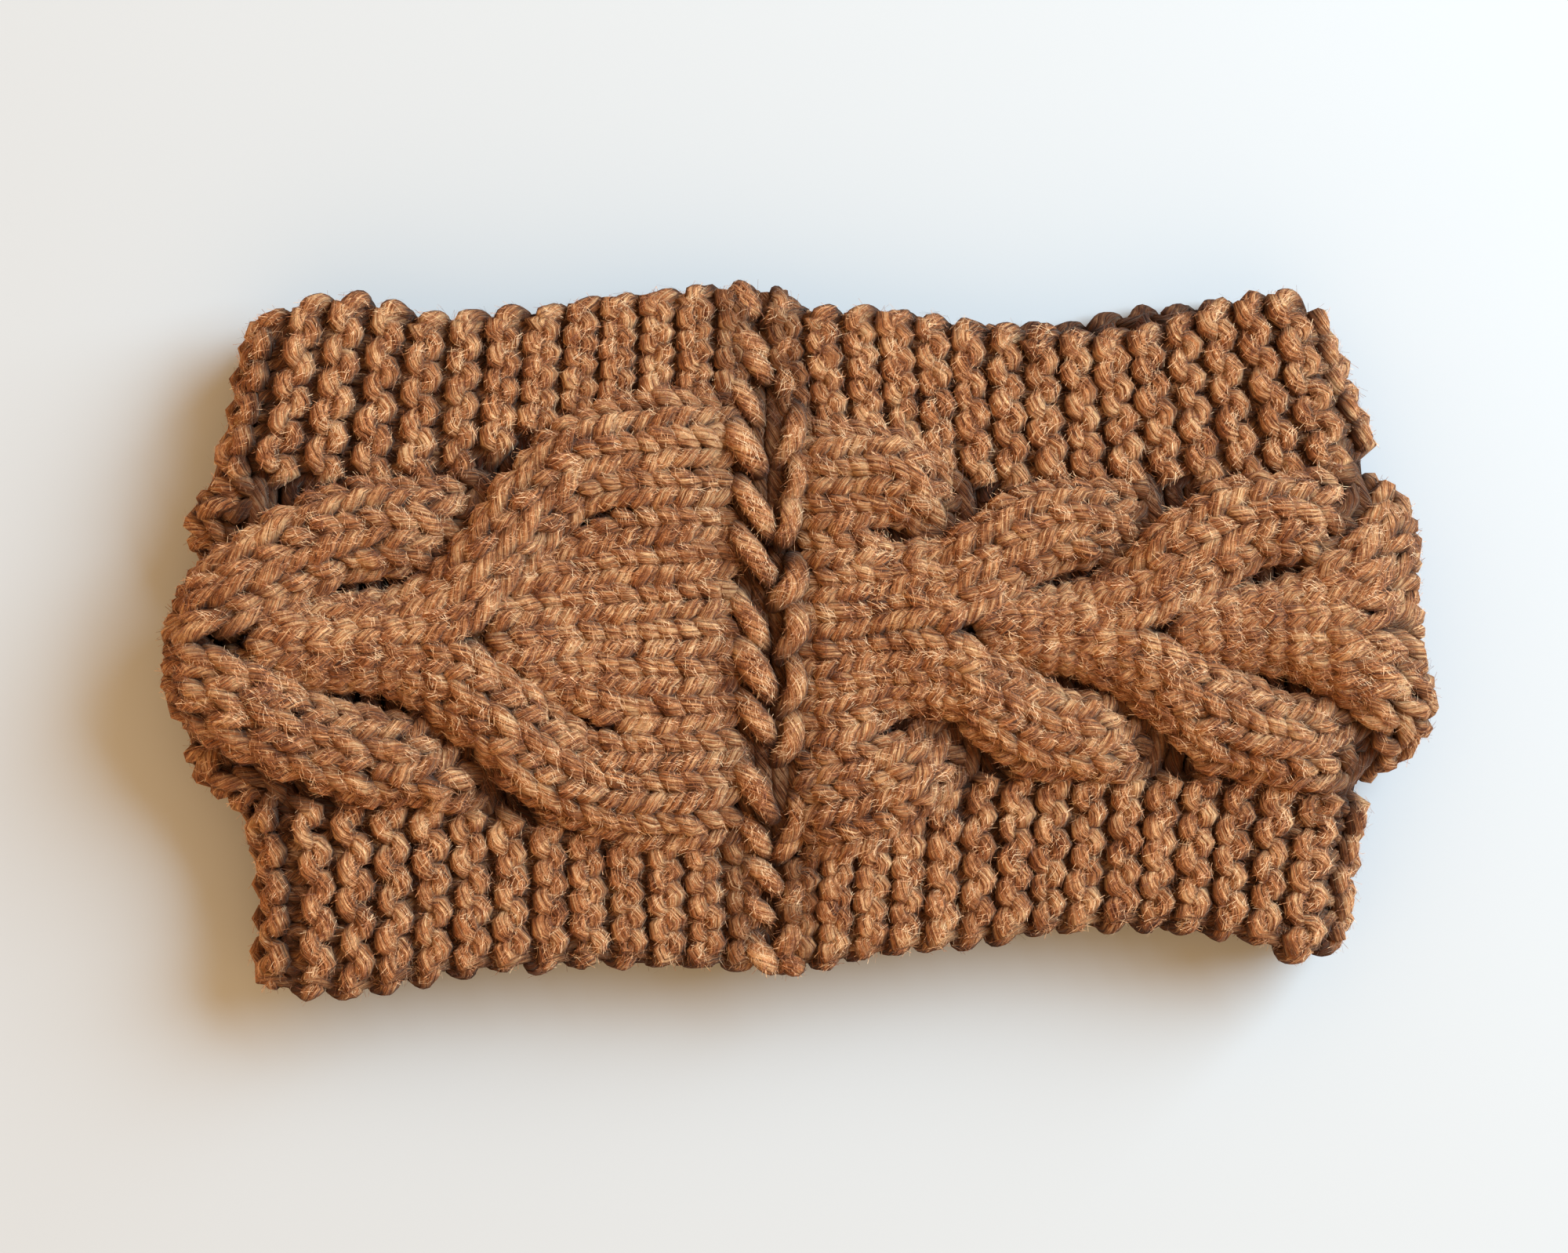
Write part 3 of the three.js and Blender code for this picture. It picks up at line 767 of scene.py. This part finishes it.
def fibre_tree():
    """Scatters loose fibres over the yarn, most where it lies on top."""
    tree, ids = tree_with(
        "loose_fibres",
        [
            ("Fibres per area", "Float"),
            ("Shortest", "Float"),
            ("Longest", "Float"),
            ("Seed", "Int"),
            ("Yarn", "Material"),
        ],
    )
    nodes = tree.nodes
    link = tree.links.new
    given = nodes.new("NodeGroupInput")
    out = nodes.new("NodeGroupOutput")
    high = nodes.new("ShaderNodeMath")
    high.operation = "SUBTRACT"
    high.inputs[0].default_value = 1.0
    link(named(nodes, "depth_and_painted_shade"), high.inputs[1])
    amount = nodes.new("ShaderNodeMath")
    amount.operation = "MULTIPLY"
    link(high.outputs[0], amount.inputs[0])
    link(given.outputs["Fibres per area"], amount.inputs[1])
    normal = nodes.new("GeometryNodeInputNormal")
    spot = nodes.new("GeometryNodeInputPosition")
    seen = amount.outputs[0]
    for vector, start, end, least in ((normal, -0.35, 0.05, 0.0), (spot, 0.010, 0.016, 0.12)):
        axes = nodes.new("ShaderNodeSeparateXYZ")
        link(vector.outputs[0], axes.inputs[0])
        share = nodes.new("ShaderNodeMapRange")
        share.inputs["From Min"].default_value = start
        share.inputs["From Max"].default_value = end
        share.inputs["To Min"].default_value = least
        link(axes.outputs["Z"], share.inputs["Value"])
        both = nodes.new("ShaderNodeMath")
        both.operation = "MULTIPLY"
        link(seen, both.inputs[0])
        link(share.outputs["Result"], both.inputs[1])
        seen = both.outputs[0]
    scatter = nodes.new("GeometryNodeDistributePointsOnFaces")
    link(given.outputs["Geometry"], scatter.inputs["Mesh"])
    link(seen, scatter.inputs["Density"])
    link(given.outputs["Seed"], scatter.inputs["Seed"])
    join = nodes.new("GeometryNodeJoinGeometry")
    for bend, lift in ((0.22, 0.05), (-0.3, 0.13), (0.12, 0.3)):
        grid = nodes.new("GeometryNodeMeshGrid")
        grid.inputs["Size X"].default_value = 1.0
        grid.inputs["Size Y"].default_value = 0.021
        grid.inputs["Vertices X"].default_value = 3
        grid.inputs["Vertices Y"].default_value = 2
        spot = nodes.new("GeometryNodeInputPosition")
        parts = nodes.new("ShaderNodeSeparateXYZ")
        link(spot.outputs[0], parts.inputs[0])
        square = nodes.new("ShaderNodeMath")
        square.operation = "MULTIPLY"
        link(parts.outputs["X"], square.inputs[0])
        link(parts.outputs["X"], square.inputs[1])
        aside = nodes.new("ShaderNodeMath")
        aside.operation = "MULTIPLY"
        aside.inputs[1].default_value = 4 * bend
        link(square.outputs[0], aside.inputs[0])
        rise = nodes.new("ShaderNodeMath")
        rise.operation = "MULTIPLY_ADD"
        rise.inputs[1].default_value = lift
        rise.inputs[2].default_value = 0.3 * lift
        link(parts.outputs["X"], rise.inputs[0])
        shift = nodes.new("ShaderNodeCombineXYZ")
        link(aside.outputs[0], shift.inputs["Y"])
        link(rise.outputs[0], shift.inputs["Z"])
        curl = nodes.new("GeometryNodeSetPosition")
        link(grid.outputs["Mesh"], curl.inputs["Geometry"])
        link(shift.outputs[0], curl.inputs["Offset"])
        single = nodes.new("GeometryNodeGeometryToInstance")
        link(curl.outputs[0], single.inputs[0])
        link(single.outputs[0], join.inputs[0])
    seed = given.outputs["Seed"]
    place = nodes.new("GeometryNodeInstanceOnPoints")
    place.inputs["Pick Instance"].default_value = True
    link(scatter.outputs["Points"], place.inputs["Points"])
    link(join.outputs[0], place.inputs["Instance"])
    link(random_value(nodes, link, seed, "INT", 0, 2, 11), place.inputs["Instance Index"])
    align = nodes.new("FunctionNodeAlignRotationToVector")
    align.axis = "X"
    align.pivot_axis = "Z"
    link(scatter.outputs["Rotation"], align.inputs["Rotation"])
    link(named(nodes, "heading", "FLOAT_VECTOR"), align.inputs["Vector"])
    link(align.outputs[0], place.inputs["Rotation"])
    length = nodes.new("FunctionNodeRandomValue")
    link(given.outputs["Shortest"], length.inputs[2])
    link(given.outputs["Longest"], length.inputs[3])
    link(given.outputs["Seed"], length.inputs["Seed"])
    link(length.outputs[1], place.inputs["Scale"])
    spin = nodes.new("GeometryNodeRotateInstances")
    link(place.outputs[0], spin.inputs["Instances"])
    least = (-0.3, -0.2, FIBRE_LAY - 0.5)
    most = (0.3, 0.1, FIBRE_LAY + 0.5)
    turn = random_value(nodes, link, seed, "FLOAT_VECTOR", least, most, 23)
    link(turn, spin.inputs["Rotation"])
    real = nodes.new("GeometryNodeRealizeInstances")
    link(spin.outputs[0], real.inputs[0])
    smooth = nodes.new("GeometryNodeSetShadeSmooth")
    link(real.outputs[0], smooth.inputs["Geometry"])
    paint = nodes.new("GeometryNodeSetMaterial")
    link(smooth.outputs[0], paint.inputs["Geometry"])
    link(given.outputs["Yarn"], paint.inputs["Material"])
    link(paint.outputs[0], out.inputs["Geometry"])
    return tree, ids


def uneven_yarn(points, thickness, rng):
    """Soft handspun looking lumps and wobbles along a line."""
    soft = np.array([1, 4, 6, 4, 1]) / 16
    count = len(points)
    slips = rng.normal(0, 1, (count + 4, 4))
    slips = np.stack([np.convolve(slips[:, k], soft, "valid") for k in range(4)], axis=1)
    return points + 0.3 * slips[:, :3], thickness * (1 + 0.1 * slips[:, 3])


def knit(name, lines, yarn, trees, seed, sides, rng):
    """A piece of yarn laid along lines, with their thickness."""
    all_points = []
    all_thickness = []
    for points, thickness, _, _ in lines:
        points, thickness = uneven_yarn(points, thickness, rng)
        points[:, 2] = np.maximum(points[:, 2], 0.6 * thickness)
        all_points.append(points)
        all_thickness.append(thickness)
    counts = [len(points) for points in all_points]
    edges = np.stack([np.arange(sum(counts) - 1), np.arange(1, sum(counts))], axis=1)
    edges = np.delete(edges, np.cumsum(counts)[:-1] - 1, axis=0)
    mesh = bpy.data.meshes.new(name + "_lines")
    mesh.from_pydata((np.vstack(all_points) * MM).tolist(), edges.tolist(), [])
    for label, values in (
        ("thickness", np.concatenate(all_thickness) * MM),
        ("depth_and_painted_shade", np.concatenate([line[2] for line in lines])),
    ):
        attribute = mesh.attributes.new(label, "FLOAT", "POINT")
        attribute.data.foreach_set("value", values.astype(np.float32))
    face = mesh.attributes.new("outward", "FLOAT_VECTOR", "POINT")
    face.data.foreach_set("vector", np.vstack([line[3] for line in lines]).ravel().astype(np.float32))
    guide = bpy.data.objects.new(name + "_lines", mesh)
    bpy.context.scene.collection.objects.link(guide)
    tree, ids = trees["tube"]
    values = {"Sides": sides, "Ply pitch": PLY_PITCH, "Seed": seed, "Yarn": yarn}
    piece = run_tree(guide, tree, ids, values, name)
    bpy.data.objects.remove(guide)
    flatten_on_table(piece)
    return piece


def flatten_on_table(piece):
    """What would reach through the table lies pressed on it."""
    co = np.empty(len(piece.data.vertices) * 3, dtype=np.float32)
    piece.data.vertices.foreach_get("co", co)
    co[2::3] = np.maximum(co[2::3], 0.0001)
    piece.data.vertices.foreach_set("co", co)
    piece.data.update()


def fuzz(name, piece, fibre, trees, seed, per_area):
    tree, ids = trees["fibre"]
    values = {
        "Fibres per area": per_area,
        "Shortest": SHORTEST_FIBRE,
        "Longest": LONGEST_FIBRE,
        "Seed": seed,
        "Yarn": fibre,
    }
    fluff = run_tree(piece, tree, ids, values, name)
    flatten_on_table(fluff)
    return fluff


def new_group(name, inputs, outputs):
    group = bpy.data.node_groups.new(name, "ShaderNodeTree")
    for label, kind, value in inputs:
        socket = group.interface.new_socket(label, in_out="INPUT", socket_type=kind)
        if value is not None:
            socket.default_value = value
    for label, kind in outputs:
        group.interface.new_socket(label, in_out="OUTPUT", socket_type=kind)
    return group


def math_node(nodes, link, operation, *values):
    node = nodes.new("ShaderNodeMath")
    node.operation = operation
    for i, value in enumerate(values):
        if isinstance(value, (int, float)):
            node.inputs[i].default_value = value
        else:
            link(value, node.inputs[i])
    return node.outputs[0]


def ply_group():
    """Plies wound round the yarn, with the fibres' streaks along them, and where painted shade goes
    into the grooves between them.
    """
    group = new_group(
        "wound_plies",
        [
            ("Plies", "NodeSocketFloat", 5.0),
            ("Pitch", "NodeSocketFloat", 0.02),
            ("Streaks", "NodeSocketFloat", 1.0),
        ],
        [("Height", "NodeSocketFloat"), ("Painted groove shade", "NodeSocketFloat"), ("Streak", "NodeSocketFloat")],
    )
    nodes = group.nodes
    link = group.links.new
    given = nodes.new("NodeGroupInput")
    out = nodes.new("NodeGroupOutput")
    around = nodes.new("ShaderNodeAttribute")
    around.attribute_name = "around"
    along = nodes.new("ShaderNodeAttribute")
    along.attribute_name = "along"
    parts = nodes.new("ShaderNodeSeparateXYZ")
    link(around.outputs["Vector"], parts.inputs[0])
    angle = math_node(nodes, link, "ARCTAN2", parts.outputs["Y"], parts.outputs["X"])
    turns = math_node(nodes, link, "DIVIDE", angle, 2 * math.pi)
    wound = math_node(nodes, link, "DIVIDE", along.outputs["Fac"], given.outputs["Pitch"])
    place = math_node(nodes, link, "ADD", turns, wound)
    in_plies = math_node(nodes, link, "MULTIPLY", place, given.outputs["Plies"])
    part = math_node(nodes, link, "FRACT", in_plies)
    off = math_node(nodes, link, "MULTIPLY_ADD", part, 2.0, -1.0)
    square = math_node(nodes, link, "MULTIPLY", off, off)
    rest = math_node(nodes, link, "SUBTRACT", 1.0, square)
    ply = math_node(nodes, link, "SQRT", rest)
    full_turn = math_node(nodes, link, "MULTIPLY", place, 2 * math.pi)
    cosine = math_node(nodes, link, "COSINE", full_turn)
    sine = math_node(nodes, link, "SINE", full_turn)
    cos_wide = math_node(nodes, link, "MULTIPLY", cosine, 5.0)
    sin_wide = math_node(nodes, link, "MULTIPLY", sine, 5.0)
    long = math_node(nodes, link, "MULTIPLY", along.outputs["Fac"], 260.0)
    spot = nodes.new("ShaderNodeCombineXYZ")
    link(cos_wide, spot.inputs[0])
    link(sin_wide, spot.inputs[1])
    link(long, spot.inputs[2])
    noise = nodes.new("ShaderNodeTexNoise")
    noise.inputs["Scale"].default_value = 1.0
    noise.inputs["Detail"].default_value = 4.0
    noise.inputs["Roughness"].default_value = 0.7
    noise.inputs["Distortion"].default_value = 0.9
    link(spot.outputs[0], noise.inputs["Vector"])
    streak = noise.outputs["Fac"]
    streak_height = math_node(nodes, link, "MULTIPLY", streak, given.outputs["Streaks"])
    height = math_node(nodes, link, "MULTIPLY_ADD", streak_height, 1.2, ply)
    # Mask for painted shade in the grooves between the plies, shown in patches
    groove_shade = math_node(nodes, link, "SUBTRACT", 1.0, ply)
    patch = nodes.new("ShaderNodeTexNoise")
    patch.inputs["Scale"].default_value = 0.55
    patch.inputs["Detail"].default_value = 1.0
    link(spot.outputs[0], patch.inputs["Vector"])
    shown = nodes.new("ShaderNodeMapRange")
    shown.inputs["From Min"].default_value = 0.3
    shown.inputs["From Max"].default_value = 0.55
    link(patch.outputs["Fac"], shown.inputs["Value"])
    groove_shade = math_node(nodes, link, "MULTIPLY", groove_shade, shown.outputs["Result"])
    link(height, out.inputs["Height"])
    link(groove_shade, out.inputs["Painted groove shade"])
    link(streak, out.inputs["Streak"])
    return group


def yarn_material(name, plies):
    """Soft matt acrylic yarn in camel brown, with painted shade between its plies and in the knit's
    crevices.
    """
    material = bpy.data.materials.new(name)
    material.use_nodes = True
    nodes = material.node_tree.nodes
    link = material.node_tree.links.new
    shader = nodes["Principled BSDF"]
    wound = nodes.new("ShaderNodeGroup")
    wound.node_tree = plies
    wound.inputs["Plies"].default_value = PLIES
    wound.inputs["Pitch"].default_value = PLY_PITCH
    wound.inputs["Streaks"].default_value = 1.0
    spots = nodes.new("ShaderNodeTexCoord")
    blotch = nodes.new("ShaderNodeTexNoise")
    blotch.inputs["Scale"].default_value = 170.0
    blotch.inputs["Detail"].default_value = 4.0
    blotch.inputs["Roughness"].default_value = 0.65
    link(spots.outputs["Object"], blotch.inputs["Vector"])
    shade = math_node(nodes, link, "MULTIPLY_ADD", wound.outputs["Streak"], 0.6, 0.0)
    shade = math_node(nodes, link, "MULTIPLY_ADD", blotch.outputs["Fac"], 0.4, shade)
    ramp = nodes.new("ShaderNodeValToRGB")
    elements = ramp.color_ramp.elements
    elements[0].position = 0.405
    elements[0].color = DARK_STREAK
    elements[1].position = 0.59
    elements[1].color = LIGHT_STREAK
    middle = elements.new(0.5)
    middle.color = MIDDLE_STREAK
    link(shade, ramp.inputs["Fac"])
    # Painted shade in the grooves between the plies
    with_groove_shade = nodes.new("ShaderNodeMix")
    with_groove_shade.data_type = "RGBA"
    with_groove_shade.blend_type = "MULTIPLY"
    depth_and_painted_shade = math_node(nodes, link, "POWER", wound.outputs["Painted groove shade"], 1.15)
    link(depth_and_painted_shade, with_groove_shade.inputs["Factor"])
    link(ramp.outputs["Color"], with_groove_shade.inputs["A"])
    with_groove_shade.inputs["B"].default_value = PAINTED_GROOVE_SHADE
    # Painted shade in the knit's crevices and on the yarn's turned-away sides
    buried = nodes.new("ShaderNodeAttribute")
    buried.attribute_name = "depth_and_painted_shade"
    inside = nodes.new("ShaderNodeMix")
    inside.data_type = "RGBA"
    inside.blend_type = "MULTIPLY"
    link(buried.outputs["Fac"], inside.inputs["Factor"])
    link(with_groove_shade.outputs["Result"], inside.inputs["A"])
    inside.inputs["B"].default_value = PAINTED_CREVICE_SHADE
    link(inside.outputs["Result"], shader.inputs["Base Color"])
    bump = nodes.new("ShaderNodeBump")
    bump.inputs["Strength"].default_value = 1.0
    bump.inputs["Distance"].default_value = 0.0009
    link(wound.outputs["Height"], bump.inputs["Height"])
    link(bump.outputs["Normal"], shader.inputs["Normal"])
    shader.inputs["Roughness"].default_value = 0.9
    shader.inputs["Specular IOR Level"].default_value = 0.15
    shader.inputs["Sheen Weight"].default_value = 0.12
    shader.inputs["Sheen Roughness"].default_value = 0.45
    shader.inputs["Sheen Tint"].default_value = SHEEN_TINT
    return material


def fibre_material(name):
    """Single fibres standing off the yarn."""
    material = bpy.data.materials.new(name)
    material.use_nodes = True
    nodes = material.node_tree.nodes
    link = material.node_tree.links.new
    shader = nodes["Principled BSDF"]
    spots = nodes.new("ShaderNodeTexCoord")
    fine = nodes.new("ShaderNodeTexNoise")
    fine.inputs["Scale"].default_value = 1100.0
    link(spots.outputs["Object"], fine.inputs["Vector"])
    blotch = nodes.new("ShaderNodeTexNoise")
    blotch.inputs["Scale"].default_value = 260.0
    blotch.inputs["Detail"].default_value = 3.0
    link(spots.outputs["Object"], blotch.inputs["Vector"])
    shade = math_node(nodes, link, "MULTIPLY_ADD", fine.outputs["Fac"], 0.55, 0.0)
    shade = math_node(nodes, link, "MULTIPLY_ADD", blotch.outputs["Fac"], 0.45, shade)
    ramp = nodes.new("ShaderNodeValToRGB")
    elements = ramp.color_ramp.elements
    elements[0].position = 0.415
    elements[0].color = DARK_FIBRE
    elements[1].position = 0.585
    elements[1].color = LIGHT_FIBRE
    middle = elements.new(0.5)
    middle.color = MIDDLE_FIBRE
    link(shade, ramp.inputs["Fac"])
    # Painted crevice shade on the fibres, where the yarn under them is buried
    buried = nodes.new("ShaderNodeAttribute")
    buried.attribute_name = "depth_and_painted_shade"
    inside = nodes.new("ShaderNodeMix")
    inside.data_type = "RGBA"
    inside.blend_type = "MULTIPLY"
    link(buried.outputs["Fac"], inside.inputs["Factor"])
    link(ramp.outputs["Color"], inside.inputs["A"])
    inside.inputs["B"].default_value = PAINTED_CREVICE_SHADE
    link(inside.outputs["Result"], shader.inputs["Base Color"])
    shader.inputs["Roughness"].default_value = 0.7
    shader.inputs["Sheen Weight"].default_value = 0.2
    return material


def studio():
    """A pale table, soft light from the right, and a camera straight above."""
    floor_mesh = bpy.data.meshes.new("table")
    size = 3.0
    floor_mesh.from_pydata(
        [(-size, -size, 0), (size, -size, 0), (size, size, 0), (-size, size, 0)], [], [(0, 1, 2, 3)]
    )
    floor = bpy.data.objects.new("table", floor_mesh)
    bpy.context.scene.collection.objects.link(floor)
    paper = bpy.data.materials.new("pale_table")
    paper.use_nodes = True
    shader = paper.node_tree.nodes["Principled BSDF"]
    shader.inputs["Base Color"].default_value = PALE_TABLE
    shader.inputs["Roughness"].default_value = 0.8
    floor_mesh.materials.append(paper)
    world = bpy.data.worlds.new("soft_room")
    bpy.context.scene.world = world
    world.use_nodes = True
    sky = world.node_tree.nodes["Background"]
    sky.inputs["Color"].default_value = ROOM_LIGHT
    sky.inputs["Strength"].default_value = 0.93
    window = bpy.data.lights.new("window", "AREA")
    window.size = 1.2
    window.energy = 71.0
    window.color = WINDOW_LIGHT
    lamp = bpy.data.objects.new("window", window)
    lamp.location = (1.2, 0.64, 0.99)
    lamp.rotation_euler = (-lamp.location).to_track_quat("-Z", "Y").to_euler()
    bpy.context.scene.collection.objects.link(lamp)
    camera_data = bpy.data.cameras.new("camera")
    camera_data.lens = 85.0
    camera_data.sensor_width = 36.0
    camera_data.clip_start = 0.01
    camera = bpy.data.objects.new("camera", camera_data)
    camera.location = (-0.0022, 0.0034, 0.025 + 0.292 * 85.0 / 36.0)
    bpy.context.scene.collection.objects.link(camera)
    bpy.context.scene.camera = camera
    bpy.context.scene.view_settings.view_transform = "Standard"


studio()
plies = ply_group()
border_yarn = yarn_material("border_yarn", plies)
cable_yarn = yarn_material("cable_yarn", plies)
seam_yarn = yarn_material("seam_yarn", plies)
fibre = fibre_material("fibre")
trees = {"tube": tube_tree(), "fibre": fibre_tree()}

rng = np.random.default_rng(7)
lower_border = garter_lines(0, BORDER_STITCHES, rng)
upper_border = garter_lines(BAND_STITCHES, BORDER_STITCHES + PANEL_STITCHES, rng)
upper_left = strand_lines(range(LOWER_FROM), rng)
upper_right = strand_lines(range(LOWER_TO, ROWS), rng)
lower_layer = strand_lines(range(LOWER_FROM, LOWER_TO), rng)
seam = seam_strand_lines(rng)

# Each piece with its lines, its yarn, the node it stands for, its slot and its share of fibres
PIECES = (
    ("lower_border_stitches", lower_border, border_yarn, "garter_border_lower", "yarn_border", 1.0),
    ("upper_border_stitches", upper_border, border_yarn, "garter_border_upper", "yarn_border", 1.0),
    ("cable_stitches_upper_left", upper_left, cable_yarn, "cable_panel", "yarn_cable", 1.0),
    ("cable_stitches_upper_right", upper_right, cable_yarn, "cable_panel", "yarn_cable", 1.0),
    ("cable_stitches_lower_layer", lower_layer, cable_yarn, "cable_panel", "yarn_cable", 0.5),
    ("seam_strands", seam, seam_yarn, "back_seam", "yarn_seam", 1.4),
)
for seed, (name, lines, yarn, node, slot, fluffy) in enumerate(PIECES):
    piece = knit(name, lines, yarn, trees, seed, SIDES.get(name, USUAL_SIDES), rng)
    fluff_name = name.replace("stitches", "fibres").replace("strands", "fibres")
    fluff = fuzz(fluff_name, piece, fibre, trees, seed, fluffy * FIBRES_PER_AREA)
    for part in (piece, fluff):
        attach(part, "root")
    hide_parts(node)
